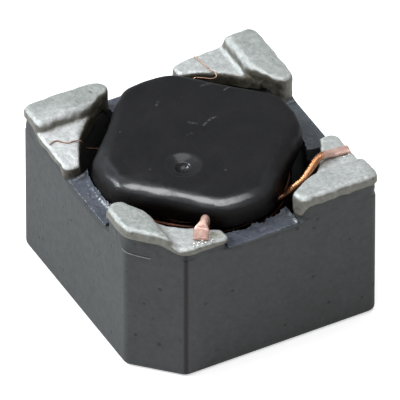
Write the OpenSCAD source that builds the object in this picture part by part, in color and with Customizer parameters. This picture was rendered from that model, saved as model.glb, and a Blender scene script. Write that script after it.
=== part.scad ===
// Shielded surface-mount coupled inductor, shown terminal side up.
// It rests on its plain face at z = 0, and the four solder terminals point up (+Z).

/* [Shield] */
// Side of the square ferrite body
body_w = 5.93; // [5.7:0.01:6.2]
// Height of the rim between the corner posts
rim_h = 3.34; // [3.2:0.01:3.8]
// Thickness of the closed floor
floor_t = 0.6; // [0.45:0.05:0.8]
// Thickness of the wall at the middle of a side
wall_t = 0.215; // [0.19:0.005:0.24]
// Radius of the upright corners
corner_r = 0.3; // [0.2:0.01:0.4]
// Setback of the bevel that marks the first terminal
bevel = 1.02; // [0.8:0.01:1.15]
// Radius of the two upright edges of the bevel
bevel_edge_r = 0.2; // [0.1:0.01:0.3]
// Radius of the edges round the resting face
base_edge_r = 0.24; // [0.1:0.01:0.3]
// Radius at the foot of the bore
bore_foot_r = 0.12; // [0.05:0.01:0.15]

/* [Corner posts] */
// Height of the tall ridges above the rim
ridge_h = 0.675; // [0.6:0.005:0.8]
// Height of the low ledges above the rim
ledge_h = 0.375; // [0.3:0.005:0.45]
// Width of a ridge at its top
ridge_w = 0.7; // [0.6:0.01:0.8]
// How far a ridge's inner side leans out on its way down
ridge_lean = 0.12; // [0.05:0.01:0.16]
// Distance from the middle of a side to the end of a ridge
ridge_end = 0.965; // [0.85:0.005:1.1]
// Distance from the middle of a side to the end of a ledge
ledge_end = 0.855; // [0.75:0.005:1.0]
// How far a ledge's top falls towards its end
ledge_fall = 0.06; // [0:0.01:0.1]
// Distance from the middle of a side to where that fall starts
ledge_flat = 1.4; // [1.3:0.01:1.5]
// Radius of the posts' top edges
post_edge_r = 0.18; // [0.1:0.01:0.2]
// Radius of the posts' corners beside the rim, seen from above
post_end_r = 0.16; // [0.08:0.01:0.18]
// Radius of the posts' top edges along the bore
bore_edge_r = 0.12; // [0.08:0.01:0.14]
// Fillet where a post meets the rim
notch_r = 0.14; // [0.08:0.01:0.2]

/* [Terminals] */
// Thickness of the metal coat on the posts
coat_t = 0.035; // [0.03:0.005:0.05]
// How far the coat reaches down below a ledge
ledge_band = 0.17; // [0.12:0.01:0.22]
// How far the coat reaches down below a ridge
ridge_band = 0.27; // [0.2:0.01:0.32]

/* [Drum core] */
// Gap between the flanges and the bore
drum_gap = 0.27; // [0.22:0.01:0.3]
// Height of the drum above the rim
drum_rise = 0.7; // [0.6:0.01:0.74]
// Thickness of the upper flange
top_flange_t = 0.65; // [0.55:0.01:0.7]
// Thickness of the lower flange
low_flange_t = 0.6; // [0.5:0.01:0.7]
// Diameter of the hub that carries the windings
hub_d = 2.3; // [2:0.05:2.6]
// How far the flats cut into the flanges
flat_depth = 0.33; // [0.28:0.01:0.35]
// How far the middle of a flat is hollowed
flat_hollow = 0.06; // [0.03:0.01:0.08]
// Radius of the upper flange's top edge
flange_edge_r = 0.26; // [0.1:0.01:0.3]
// Radius of the other flange edges
flange_foot_r = 0.06; // [0.03:0.01:0.1]
// Place of the drum's axis in the bore, in x
drum_shift_x = -0.06; // [-0.1:0.01:0.1]
// Place of the drum's axis in the bore, in y
drum_shift_y = 0.03; // [-0.1:0.01:0.1]
// Diameter of the dimple in the top face
dimple_d = 0.82; // [0.6:0.01:1]
// Depth of the dimple
dimple_depth = 0.11; // [0.05:0.01:0.13]
// Diameter of the pit in the dimple
pit_d = 0.42; // [0.3:0.01:0.5]
// Depth of the pit below the top face
pit_depth = 0.19; // [0.16:0.01:0.21]
// Place of the dimple from the drum's axis, in x
dimple_x = -0.69; // [-1:0.01:0]
// Place of the dimple from the drum's axis, in y
dimple_y = -0.63; // [-1:0.01:0]

/* [Thick winding] */
// Diameter of the thick wire
wire_d = 0.18; // [0.14:0.01:0.2]
// Turns of the thick wire
turns = 9; // [6:1:9]
// Width of the thick wire where it is pressed flat
strip_w = 0.27; // [0.2:0.01:0.3]
// Thickness of the thick wire where it is pressed flat
strip_t = 0.09; // [0.06:0.01:0.12]
// Distance from a ridge's foot to where the thick wire crosses its ledge
strip_in = 0.535; // [0.45:0.005:0.6]

/* [Fine winding] */
// Diameter of the fine wire
hair_d = 0.04; // [0.03:0.005:0.05]
// Gap between the fine coil, the drum and the thick turns
coil_gap = 0.02; // [0.01:0.005:0.03]
// Radius of the fine coil's edges
coil_edge_r = 0.1; // [0.05:0.01:0.15]
// Distance from a ridge's foot to where the fine wire crosses its ledge
hair_in = 0.645; // [0.55:0.005:0.7]

/* [Solder and adhesive] */
// Radius of the solder beads on the thick wire's ends
bead_r = 0.1; // [0.07:0.01:0.12]
// Angle that each bead of adhesive covers
glue_angle = 44; // [30:1:44]
// Depth of the adhesive below the rim
glue_depth = 0.3; // [0.2:0.01:0.4]
// How far the adhesive climbs the flange above the rim
glue_climb = 0.16; // [0.1:0.01:0.2]
// How far the adhesive spreads over the rim
glue_skirt = 0.15; // [0.05:0.01:0.17]

/* [Hidden] */
$fn = 48;
edge_strips = 5; // flat strips in each rounded edge of the body
over = 0.5; // how far a cut or a blank runs past the shape it trims
half = body_w / 2;
bore_r = half - wall_t;
ridge_z = rim_h + ridge_h;
ledge_z = rim_h + ledge_h;
ridge_x = half - ridge_w;
ridge_foot = ridge_x - ridge_lean;
pad_z = ledge_z + coat_t;
strip_at = ridge_foot - strip_in;
hair_at = ridge_foot - hair_in;
drum_r = bore_r - drum_gap;
drum_top = rim_h + drum_rise;
drum_shift = [drum_shift_x, drum_shift_y, 0];
window_low = floor_t + low_flange_t;
window_high = drum_top - top_flange_t;
flat_dist = drum_r - flat_depth;
flat_half = 1.13; // half the width over which a flat is hollowed
flat_cut_r = (flat_half * flat_half + flat_hollow * flat_hollow) / (2 * flat_hollow);
turn_r = flat_dist - wire_d / 2;
helix_start = -90;
helix_sweep = 360 * turns + 15;
helix_low = window_low + 0.75 * wire_d;
helix_high = window_high - 2 * hair_d - 0.01 - wire_d / 2;
helix_cut = 10; // angle between two rings on the helix
lead_step = 8; // angle that each end of the helix gives to its lead's curve
lead_cuts = 4; // rings between two set points of a thick lead
flat_rings_1 = 11;
flat_rings_2 = 12;
strip_z = pad_z + strip_t / 2 + 0.003;
over_pad_z = pad_z + wire_d / 2 + 0.02;
under_z = window_high - wire_d / 2 - 0.02;
hair_z = window_high - hair_d - 0.01;
hair_pad_z = pad_z + hair_d / 2;
glue_in = flat_dist + 0.13; // inner end of the adhesive, clear of the thick turns
skirt_t = 0.01;
skirt_angle = 27; // the stretch of each side between two posts, less their fillets
post_gap = 0.005; // gap between the adhesive and the inner faces of the posts

// ---- Shared profile tools ----

function unit(v) = v / norm(v);

// Region between a corner of an outline and the arc that rounds it
module corner_sliver(before, at, after, r) {
    u = unit(before - at);
    v = unit(after - at);
    half_angle = acos(u * v) / 2;
    reach = r / tan(half_angle);
    centre = at + unit(u + v) * r / sin(half_angle);
    difference() {
        polygon([at, at + u * reach, centre, at + v * reach]);
        translate(centre) circle(r);
    }
}

// Outline with each convex corner rounded to its own radius, where 0 leaves it sharp
module rounded_outline(points, radii) {
    n = len(points);
    difference() {
        polygon(points);
        for (i = [0 : n - 1])
            if (radii[i] > 0)
                corner_sliver(points[(i + n - 1) % n], points[i], points[(i + 1) % n], radii[i]);
    }
}

// Points that round one corner of an outline, as seen from the points before and after it
function arc_points(before, at, after, r) =
    let (
        u = unit(before - at),
        v = unit(after - at),
        half_angle = acos(u * v) / 2,
        centre = at + unit(u + v) * r / sin(half_angle),
        spoke = at + u * r / tan(half_angle) - centre,
        sweep = -sign(cross(u, v)) * (180 - 2 * half_angle)
    )
    [for (k = [0 : edge_strips])
        let (a = sweep * k / edge_strips)
        centre + [spoke.x * cos(a) - spoke.y * sin(a), spoke.x * sin(a) + spoke.y * cos(a)]];

// Outline with each convex corner rounded in narrow flat strips, where a radius of 0 leaves it sharp.
// Strips cut each other cleanly where three rounded edges meet.
module soft_outline(points, radii) {
    n = len(points);
    polygon([
        for (i = [0 : n - 1])
            each radii[i] == 0
                ? [points[i]]
                : arc_points(points[(i + n - 1) % n], points[i], points[(i + 1) % n], radii[i])
    ]);
}

// Outline in x and z, extruded along y over the whole body
module along_y() {
    translate([0, body_w, 0]) rotate([90, 0, 0]) linear_extrude(2 * body_w) children();
}

// Outline in y and z, extruded along x over the whole body
module along_x() {
    translate([-body_w, 0, 0]) rotate([90, 0, 90]) linear_extrude(2 * body_w) children();
}

// The same thing at each corner: number 1 is the bevelled corner, and the rest follow anticlockwise
function corner_turn(n) = 90 * n - 270;

// ---- Shield ----

// Outline of the body with its bevelled corner
module body_outline() {
    b = bevel_edge_r;
    r = corner_r;
    rounded_outline(
        [[-half, bevel - half], [bevel - half, -half], [half, -half], [half, half], [-half, half]],
        [b, b, r, r, r]
    );
}

// Everything between the outer faces and the bore
module wall_ring() {
    linear_extrude(ridge_z + over) difference() {
        body_outline();
        circle(bore_r);
    }
}

// The same at corner n alone, turned to (+x, +y) and grown by g all round
module corner_wall(n, g) {
    h = half + g;
    c = bevel + g * (2 - sqrt(2));
    b = bevel_edge_r + g;
    linear_extrude(ridge_z + over) difference() {
        if (n == 1) rounded_outline([[0, 0], [h, 0], [h, h - c], [h - c, h], [0, h]], [0, 0, b, b, 0]);
        else rounded_outline([[0, 0], [h, 0], [h, h], [0, h]], [0, 0, corner_r + g, 0]);
        circle(bore_r - g);
    }
}

// Keeps what lies inside the bevelled face, with its top edge rounded
module inside_bevel(top, g, r) {
    reach = (body_w - bevel) / sqrt(2) + g;
    rotate([0, 0, 45]) along_y()
        soft_outline([[-body_w, 0], [reach, 0], [reach, top], [-body_w, top]], [0, 0, r, 0]);
}

// Tool that rounds the edge along the bore of what ends at height top
module bore_edge(top, g) {
    r = bore_edge_r + g;
    wall = bore_r - g;
    arc = arc_points([wall, 0], [wall, top], [wall + body_w, top], r);
    start = 1.5 * arc[0] - 0.5 * arc[1];
    inside = wall - r;
    high = top + over;
    rotate_extrude() polygon(concat(
        [[inside, start.y], start],
        [for (k = [1 : edge_strips]) arc[k]],
        [[wall + r, high], [inside, high]]
    ));
}

// Tall ridge of the post at the (+x, +y) corner, along the +x face
module ridge(g) {
    top = ridge_z + g;
    h = half + g;
    end = ridge_end - g;
    foot = ridge_foot - g;
    low = rim_h - over;
    r = post_edge_r + g;
    difference() {
        intersection() {
            along_x() soft_outline([[end, low], [end, top], [h, top], [h, low]], [0, r, r, 0]);
            linear_extrude(top + over) soft_outline(
                [[0, end], [h, end], [h, h], [0, h]],
                [0, post_end_r + g, 0, 0]
            );
            along_y() soft_outline(
                [[foot, low], [foot, ledge_z + g], [ridge_x - g, top], [h, top], [h, low]],
                [0, 0, r, r, 0]
            );
        }
        bore_edge(top, g);
    }
}

// Low ledge of the same post, along the +y face
module ledge(g) {
    top = ledge_z + g;
    h = half + g;
    end = ledge_end - g;
    low = rim_h - over;
    r = post_edge_r + g;
    difference() {
        intersection() {
            along_x() soft_outline([[0, low], [0, top], [h, top], [h, low]], [0, 0, r, 0]);
            linear_extrude(top + over) soft_outline(
                [[end, 0], [h, 0], [h, h], [end, h]],
                [0, 0, 0, post_end_r + g]
            );
            along_y() soft_outline(
                [[end, low], [end, top - ledge_fall], [ledge_flat, top], [ridge_x, top], [ridge_x, low]],
                [0, r, 0, 0, 0]
            );
        }
        bore_edge(top, g);
    }
}

// One post, from below the rim to its top. The first one follows the bevel.
module post(n, g = 0) {
    r = post_edge_r + g;
    rotate([0, 0, corner_turn(n)]) intersection() {
        corner_wall(n, g);
        union() {
            if (n == 1) {
                intersection() {
                    ridge(g);
                    inside_bevel(ridge_z + g, g, r);
                }
                intersection() {
                    ledge(g);
                    inside_bevel(ledge_z + g, g, r);
                }
            } else {
                ridge(g);
                ledge(g);
            }
        }
    }
}

// Fillet between the rim and an upright wall at distance at, which faces the middle of the side
module foot_fillet(at) {
    difference() {
        translate([at - notch_r, rim_h - notch_r]) square([notch_r + post_end_r, 2 * notch_r]);
        translate([at - notch_r, rim_h + notch_r]) circle(notch_r);
    }
}

// The two fillets of the post at the (+x, +y) corner
module post_feet() {
    intersection() {
        along_y() foot_fillet(ledge_end);
        translate([0, bore_r / 2, 0]) cube(body_w);
    }
    intersection() {
        along_x() foot_fillet(ridge_end);
        translate([bore_r / 2, 0, 0]) cube(body_w);
    }
}

// Closed cup with a round bore, up to the rim
module cup() {
    difference() {
        intersection() {
            linear_extrude(rim_h) body_outline();
            along_x() base_outline(half, half, base_edge_r);
            along_y() base_outline(half, half, base_edge_r);
            rotate([0, 0, 45]) along_y() base_outline((body_w - bevel) / sqrt(2), body_w, 0);
        }
        rotate_extrude() rounded_outline(
            [[0, floor_t], [bore_r, floor_t], [bore_r, rim_h + over], [0, rim_h + over]],
            [0, bore_foot_r, 0, 0]
        );
    }
}

// Side view of the body, rounded at its lower left, and by r_right at its lower right
module base_outline(left, right, r_right) {
    top = rim_h + over;
    soft_outline(
        [[-left, 0], [right, 0], [right, top], [-left, top]],
        [base_edge_r, r_right, 0, 0]
    );
}

module shield() {
    color("dimgray") {
        cup();
        intersection() {
            wall_ring();
            union() {
                for (n = [1 : 4]) rotate([0, 0, corner_turn(n)]) post_feet();
            }
        }
        for (n = [1 : 4]) post(n);
    }
}

// ---- Terminals ----

// Space that the metal coat fills round the post at the (+x, +y) corner, down to its lower edge
module coat_reach() {
    low = pad_z - ledge_band;
    high = ridge_z + coat_t - ridge_band;
    top = ridge_z + over;
    near = ledge_end - over;
    far = half + over;
    along_y() polygon(
        [[near, top], [near, low], [ridge_foot - 0.15, low], [ridge_foot + 0.3, high], [far, high], [far, top]]
    );
    translate([0, 0, low]) cube([far, ridge_end + 0.1, top - low]);
    translate([0, 0, low]) cylinder(r = bore_r, h = top - low);
}

module terminal(n) {
    color("silver") difference() {
        intersection() {
            post(n, coat_t);
            rotate([0, 0, corner_turn(n)]) coat_reach();
        }
        post(n);
    }
}

// ---- Drum core ----

// Outline of the flanges: round, with four hollowed flats that face the corners
module flange_outline() {
    difference() {
        circle(drum_r);
        for (a = [45 : 90 : 315]) rotate(a) translate([flat_dist + flat_cut_r, 0]) circle(flat_cut_r);
    }
}

// Tool that hollows one flat of the upper flange and rounds the edge that it leaves
module flat_cutter() {
    edge_z = drum_top - flange_edge_r;
    translate([flat_dist + flat_cut_r, 0, 0]) rotate_extrude($fn = 240) {
        translate([0, window_high - over]) square([flat_cut_r, top_flange_t + 2 * over]);
        difference() {
            translate([flat_cut_r - 0.1, edge_z]) square([flange_edge_r + 0.1, flange_edge_r + over]);
            translate([flat_cut_r + flange_edge_r, edge_z]) circle(flange_edge_r);
        }
    }
}

module upper_flange() {
    difference() {
        rotate_extrude() rounded_outline(
            [[0, window_high], [drum_r, window_high], [drum_r, drum_top], [0, drum_top]],
            [0, flange_foot_r, flange_edge_r, 0]
        );
        for (a = [45 : 90 : 315]) rotate([0, 0, a]) flat_cutter();
    }
}

module lower_flange() {
    intersection() {
        rotate_extrude() rounded_outline(
            [[0, floor_t], [drum_r, floor_t], [drum_r, window_low], [0, window_low]],
            [0, flange_foot_r, flange_foot_r, 0]
        );
        linear_extrude(window_low + over) flange_outline();
    }
}

// Round hollow of the given width and depth in the top face
module dish(d, depth) {
    r = (d * d / 4 + depth * depth) / (2 * depth);
    translate([dimple_x, dimple_y, drum_top + r - depth]) sphere(r);
}

module drum_core() {
    color("black") translate(drum_shift) difference() {
        union() {
            lower_flange();
            translate([0, 0, window_low - 0.1]) cylinder(d = hub_d, h = window_high - window_low + 0.2);
            upper_flange();
        }
        dish(dimple_d, dimple_depth);
        dish(pit_d, pit_depth);
    }
}

// ---- Wires ----

// Smooth curve through hand-set points, with the given number of steps between each two
function curve(pts, steps) =
    let (last = len(pts) - 1)
    concat(
        [for (i = [0 : last - 1], s = [0 : steps - 1]) curve_point(pts, i, last, s / steps)],
        [pts[last]]
    );
function curve_point(pts, i, last, t) =
    let (
        p0 = pts[max(i - 1, 0)],
        p1 = pts[i],
        p2 = pts[i + 1],
        p3 = pts[min(i + 2, last)]
    )
    0.5 * (2 * p1 + (p2 - p0) * t + (2 * p0 - 5 * p1 + 4 * p2 - p3) * t * t
        + (3 * p1 - p0 - 3 * p2 + p3) * t * t * t);

// Directions along a path, and the upward side of the wire carried along it without twisting
function tangents(p) =
    let (last = len(p) - 1)
    [for (i = [0 : last]) unit(p[min(i + 1, last)] - p[max(i - 1, 0)])];
function square_to(v, t) = unit(v - (v * t) * t);
function carried(t) = [
    for (i = 0, v = square_to([0, 0, 1], t[0]); i < len(t);
        i = i + 1, v = i < len(t) ? square_to(v, t[i]) : v) v
];

// One ring of a wire of width w and thickness h, squarer as it gets flatter
function ring(centre, side, up, w, h, sides) =
    let (p = 1 - 0.5 * (1 - h / w))
    [for (j = [0 : sides - 1])
        let (
            a = 360 * (j + 0.5) / sides,
            x = sign(cos(a)) * pow(abs(cos(a)), p) * w / 2,
            y = sign(sin(a)) * pow(abs(sin(a)), p) * h / 2
        )
        centre + side * x + up * y];

// Rings of a whole wire. The leftover twist is spread evenly, so that both ends lie level.
function wire_rings(p, w, h, sides) =
    let (
        t = tangents(p),
        u = carried(t),
        last = len(p) - 1,
        level = square_to([0, 0, 1], t[last]),
        twist = atan2(cross(u[last], level) * t[last], u[last] * level)
    )
    [for (i = [0 : last])
        let (
            a = twist * i / last,
            up = u[i] * cos(a) + cross(t[i], u[i]) * sin(a),
            side = cross(up, t[i])
        )
        ring(p[i], side, up, w[i], h[i], sides)];

// Closed tube through a list of rings
module tube(rings) {
    n = len(rings[0]);
    last = len(rings) - 1;
    polyhedron(
        points = [for (r = rings) each r],
        faces = concat(
            [[for (j = [0 : n - 1]) j]],
            [for (i = [0 : last - 1], j = [0 : n - 1])
                each [
                    [i * n + j, (i + 1) * n + j, (i + 1) * n + (j + 1) % n],
                    [i * n + j, (i + 1) * n + (j + 1) % n, i * n + (j + 1) % n]
                ]],
            [[for (j = [n - 1 : -1 : 0]) last * n + j]]
        )
    );
}

// Point given by angle, distance from the drum's axis and height
function by_drum(a, r, z) = drum_shift + [r * cos(a), r * sin(a), z];

// Point beside the flat at corner n, at distance d from the drum's axis and so far along the flat
function by_flat(n, d, along, z) =
    drum_shift + turned([(d - along) / sqrt(2), (d + along) / sqrt(2), z], corner_turn(n));

// Point at the given gap inside the bore, at angle a from the +x side of the (+x, +y) corner, turned to corner n
function by_bore(n, a, gap, z) =
    turned([(bore_r - gap) * cos(a), (bore_r - gap) * sin(a), z], corner_turn(n));

// A path set out at the (+x, +y) corner, turned to corner n about the body's axis
function at_corner(n, pts) = [for (p = pts) turned(p, corner_turn(n))];
function turned(p, a) = [p.x * cos(a) - p.y * sin(a), p.x * sin(a) + p.y * cos(a), p.z];

// ---- Thick winding ----

// Point of the helix, at angle a from the start of its first turn
function on_helix(a) =
    by_drum(helix_start + a, turn_r, helix_low + (helix_high - helix_low) * a / helix_sweep);

// Start of the wire: pressed flat on the first ledge, then down beside the flange's flat
function thick_start() = concat(
    at_corner(1, [
        [strip_at - 0.11, half - 0.145, strip_z],
        [strip_at - 0.21, half - 0.305, strip_z],
        [strip_at - 0.28, half - 0.415, strip_z]
    ]),
    [
        by_flat(1, flat_dist + 0.466, 0.919, over_pad_z),
        by_flat(1, flat_dist + 0.275, 0.912, over_pad_z - 0.01),
        by_flat(1, flat_dist + 0.166, 0.909, over_pad_z - 0.1),
        by_flat(1, flat_dist + 0.145, 0.909, over_pad_z - 0.26),
        by_flat(1, flat_dist + 0.145, 0.909, over_pad_z - 0.66),
        by_flat(1, flat_dist + 0.145, 0.909, helix_low + 1.2),
        by_flat(1, flat_dist + 0.145, 0.909, helix_low + 0.6),
        by_flat(1, flat_dist + 0.127, 0.905, helix_low + 0.3),
        by_drum(-107, turn_r + 0.24, helix_low + 0.09),
        on_helix(0),
        on_helix(lead_step)
    ]
);

// End of the wire: out from under the flange, up across the gap, and pressed flat on the second ledge
function thick_end() = concat(
    [
        on_helix(helix_sweep - lead_step),
        on_helix(helix_sweep),
        by_drum(-67, turn_r + 0.02, under_z - 0.05),
        by_drum(-58, flat_dist + 0.07, under_z),
        by_drum(-54, flat_dist + 0.23, pad_z - 0.3),
        by_drum(-49.5, flat_dist + 0.4, pad_z - 0.15),
        by_drum(-44.5, bore_r - 0.11, pad_z - 0.02),
        by_drum(-38.8, bore_r - 0.005, over_pad_z)
    ],
    at_corner(2, [
        [strip_at + 0.03, bore_r - 0.44, over_pad_z + 0.02],
        [strip_at - 0.01, half - 0.425, strip_z + 0.012],
        [strip_at, half - 0.165, strip_z],
        [strip_at + 0.03, half - 0.015, strip_z - 0.015]
    ])
);

thick_path = concat(
    curve(thick_start(), lead_cuts),
    [for (a = [helix_cut : helix_cut : helix_sweep - lead_step]) if (a > lead_step) on_helix(a)],
    curve(thick_end(), lead_cuts)
);

// Share of the full flattening at ring i, where each end has its own number of flat rings
function flatness(i) =
    let (
        s = (flat_rings_1 - i) / lead_cuts,
        e = (i - (len(thick_path) - 1 - flat_rings_2)) / lead_cuts,
        f = min(max(s, e, 0), 1)
    )
    f * f * (3 - 2 * f);
thick_w = [for (i = [0 : len(thick_path) - 1]) wire_d + (strip_w - wire_d) * flatness(i)];
thick_h = [for (i = [0 : len(thick_path) - 1]) wire_d + (strip_t - wire_d) * flatness(i)];
thick_rings = wire_rings(thick_path, thick_w, thick_h, 8);

module thick_winding() {
    color("peru") tube(thick_rings);
}

// ---- Fine winding ----

// The fine wire's turns, as the one solid ring that they make
module fine_coil() {
    r_out = turn_r - wire_d / 2 - coil_gap;
    r_in = hub_d / 2 + coil_gap;
    low = window_low + coil_gap;
    high = window_high - coil_gap;
    r = coil_edge_r;
    translate(drum_shift) rotate_extrude() rounded_outline(
        [[r_in, low], [r_out, low], [r_out, high], [r_in, high]],
        [r, r, r, r]
    );
}

// Rings of one lead of the fine wire, which crosses the gap from the coil to its ledge
function hair_rings(pts) =
    let (
        p = curve(pts, 3),
        d = [for (q = p) hair_d]
    )
    wire_rings(p, d, d, 6);

hair_lead_3 = hair_rings(concat(
    [by_drum(64, turn_r - 0.25, hair_z), by_drum(64, turn_r, hair_z), by_drum(64, flat_dist + 0.2, hair_z)],
    [
        by_bore(3, 66.8, 0.16, rim_h + 0.18),
        by_bore(3, 64.8, 0.165, rim_h + 0.34),
        by_bore(3, 60.6, 0.2, pad_z - 0.03),
        by_bore(3, 55.7, 0.23, pad_z - 0.02),
        by_bore(3, 53.4, 0.185, pad_z + 0.01),
        by_bore(3, 54.3, 0.09, pad_z + 0.05)
    ],
    at_corner(3, [
        [hair_at + 0.02, bore_r - 0.45, hair_pad_z + 0.005],
        [hair_at - 0.03, half - 0.315, hair_pad_z],
        [hair_at - 0.07, half - 0.035, hair_pad_z]
    ])
));

hair_lead_4 = hair_rings(concat(
    [by_drum(138, turn_r - 0.25, hair_z), by_drum(138.5, turn_r, hair_z), by_drum(139, flat_dist + 0.1, hair_z)],
    [
        by_bore(4, 54.1, 0.16, rim_h + 0.16),
        by_bore(4, 55.5, 0.105, rim_h + 0.34),
        by_bore(4, 56.2, 0.032, pad_z + 0.03)
    ],
    at_corner(4, [
        [hair_at + 0.08, bore_r - 0.37, hair_pad_z],
        [hair_at + 0.08, half - 0.455, hair_pad_z],
        [hair_at + 0.16, half - 0.345, hair_pad_z],
        [hair_at + 0.28, half - 0.235, hair_pad_z],
        [hair_at + 0.24, half - 0.045, hair_pad_z]
    ])
));

module fine_winding() {
    color("chocolate") {
        fine_coil();
        tube(hair_lead_3);
        tube(hair_lead_4);
    }
}

// ---- Solder ----

// Solder of corner n: what its blobs leave outside the coated post and the wire
module on_pad(n, rings) {
    color("gainsboro") difference() {
        intersection() {
            rotate([0, 0, corner_turn(n)]) union() children();
            rotate([0, 0, corner_turn(n)]) solder_reach();
        }
        post(n, coat_t);
        tube(rings);
    }
}

// Space above the ledge that solder can take up, inside the outer face of the coat
module solder_reach() {
    translate([0, bore_r / 2, pad_z - 0.1]) cube([ridge_foot - coat_t, half + coat_t - bore_r / 2, ridge_h]);
}

// Beads of solder of radius r in corner n. Each is placed from the middle of the flat strip's end, in radii:
// how far along the side, and how far in from it.
module beads(r, places) {
    for (p = places) translate([strip_at + p.x * r, half - p.y * r, pad_z]) sphere(r);
}

module solder(n) {
    last = len(thick_rings) - 1;
    if (n == 1) on_pad(1, [for (i = [0 : 12]) thick_rings[i]])
        beads(bead_r, [[-3.9, 2.25], [-2.8, 1.25], [-1.5, 0.85], [-0.1, 1.05], [0.7, 2.25]]);
    if (n == 2) on_pad(2, [for (i = [last - 14 : last]) thick_rings[i]])
        beads(0.8 * bead_r, [[-1.9, 4.6], [-2, 3.1], [-1.9, 1.8], [-1, 0.75], [0.75, 0.5], [2.1, 1]]);
}

// ---- Adhesive ----

// Section of a bead of adhesive: hollow on top, from a skirt on the rim up to the flange's side
module glue_section() {
    low = rim_h - glue_depth;
    high = rim_h + glue_climb;
    rise = glue_climb - skirt_t;
    span = bore_r + glue_skirt - drum_r;
    hollow_r = (span * span + rise * rise) / (2 * rise);
    sweep = 2 * atan(rise / span);
    polygon(concat(
        [[glue_in, low], [bore_r, low], [bore_r, rim_h], [bore_r + glue_skirt, rim_h]],
        [for (k = [0 : edge_strips])
            let (a = sweep * k / edge_strips)
            [bore_r + glue_skirt - hollow_r * sin(a), rim_h + skirt_t + hollow_r * (1 - cos(a))]],
        [[glue_in, high]]
    ));
}

// Stretch between two angles of what is turned round the bore's axis
module turned_between(from, to) {
    rotate([0, 0, from]) rotate_extrude(angle = to - from) children();
}

// The beads lie at the middle of each side, number 1 between the first two terminals.
// Only their middle stretch spreads over the rim, clear of the posts.
module adhesive(n) {
    a = 90 * n - 180;
    color("slategray") difference() {
        turned_between(a - glue_angle / 2, a + glue_angle / 2) glue_section();
        for (from = [a - glue_angle, a + skirt_angle / 2])
            turned_between(from, from + glue_angle - skirt_angle / 2)
                translate([bore_r - post_gap, rim_h]) square([over, drum_top]);
        translate(drum_shift + [0, 0, window_high]) linear_extrude(top_flange_t) flange_outline();
    }
}

shield();
drum_core();
thick_winding();
fine_winding();
for (n = [1 : 4]) {
    terminal(n);
    adhesive(n);
}
for (n = [1 : 2]) solder(n);
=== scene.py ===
import math

import bpy
import numpy as np
import openvdb
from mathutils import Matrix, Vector


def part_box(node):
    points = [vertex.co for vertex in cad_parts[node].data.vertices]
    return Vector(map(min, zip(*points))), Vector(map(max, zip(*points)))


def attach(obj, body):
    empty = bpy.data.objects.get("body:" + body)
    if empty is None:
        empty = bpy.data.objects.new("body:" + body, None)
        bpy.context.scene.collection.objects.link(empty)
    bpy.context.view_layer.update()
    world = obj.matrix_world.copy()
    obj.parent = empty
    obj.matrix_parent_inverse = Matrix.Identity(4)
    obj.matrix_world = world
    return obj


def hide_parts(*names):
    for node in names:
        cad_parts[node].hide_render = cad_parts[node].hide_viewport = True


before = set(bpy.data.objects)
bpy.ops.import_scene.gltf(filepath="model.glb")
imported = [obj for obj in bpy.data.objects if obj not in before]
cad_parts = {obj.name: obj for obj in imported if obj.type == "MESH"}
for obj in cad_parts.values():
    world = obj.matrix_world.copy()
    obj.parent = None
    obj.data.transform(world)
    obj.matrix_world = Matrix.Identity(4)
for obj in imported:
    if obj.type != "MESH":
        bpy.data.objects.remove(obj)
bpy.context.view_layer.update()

MM = 0.001


# ---------------------------------------------------------------- sizes in millimetres, some read from the CAD nodes' boxes and the rest given

def box_mm(node):
    """Lowest and highest corner of a CAD node."""
    return tuple(np.array(corner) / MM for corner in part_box(node))


shield_high = box_mm("shield")[1]
coat_low, coat_high = box_mm("terminal_3")
drum_low, drum_high = box_mm("drum_core")

HALF = shield_high[0]                       # half the body's side
COAT = coat_high[0] - HALF                  # thickness of the metal coat
COAT_HALF = coat_high[0]
TOP = coat_high[2]                          # the height that the terminals reach
LEDGE_END = coat_low[0]                     # where the coated ledge and ridge end, from the middle of a side
RIDGE_END = coat_low[1]
DRUM_X, DRUM_Y = (drum_low[0] + drum_high[0]) / 2, (drum_low[1] + drum_high[1]) / 2
DRUM_R = (drum_high[0] - drum_low[0]) / 2
DRUM_TOP = drum_high[2]
DIMPLE_X, DIMPLE_Y = DRUM_X - 0.69, DRUM_Y - 0.63
DIMPLE_R, PIT_R = 0.41, 0.21                # the dimple, and the small pit in its middle
HUB_R = 1.15
BORE_R = HALF - 0.215
RIM = TOP - COAT - 0.675                    # height of the rim between the posts
FLOOR = 0.6                                 # thickness of the cup's closed floor
WINDOW_LOW, WINDOW_HIGH = 1.2, DRUM_TOP - 0.65
FLAT_DIST = DRUM_R - 0.33                   # from the drum's axis to the middle of a flat
WIRE, HAIR = 0.18, 0.03                     # the two wires' diameters
HELIX = 9 * 360 + 15                        # angle that the thick wire's helix turns through
LEDGE_TOP = TOP - 0.3
RIDGE_TOP_X = COAT_HALF - 0.77              # inner edge of a coated ridge's top
RIDGE_FOOT_X = RIDGE_TOP_X - 0.12
BEVEL = 1.02                                # setback of the bevelled corner
BEVEL_REACH = (2 * HALF - BEVEL) / math.sqrt(2) + COAT
GRID = 0.03                                 # cell of the grid that the body and the drum are made on
MARGIN = 2 * GRID                           # empty room round a piece on its grid


# ---------------------------------------------------------------- camera, lights and floor

def back_vector(azimuth, elevation):
    """Unit vector from the object towards a camera at these angles, in degrees."""
    a, e = math.radians(azimuth), math.radians(elevation)
    return Vector((math.sin(a) * math.cos(e), -math.cos(a) * math.cos(e), math.sin(e)))


def aim(obj, place, target):
    """Puts obj at place, looking at target."""
    obj.location = place
    obj.rotation_euler = (Vector(target) - Vector(place)).to_track_quat("-Z", "Y").to_euler()


AZIMUTH, ELEVATION, DISTANCE = -28.303, 40.208, 400 * MM
LENS, AIM_HEIGHT, AIM_UP, AIM_RIGHT = 1591, 1.75 * MM, 0.381 * MM, 0.0016 * MM


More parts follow.
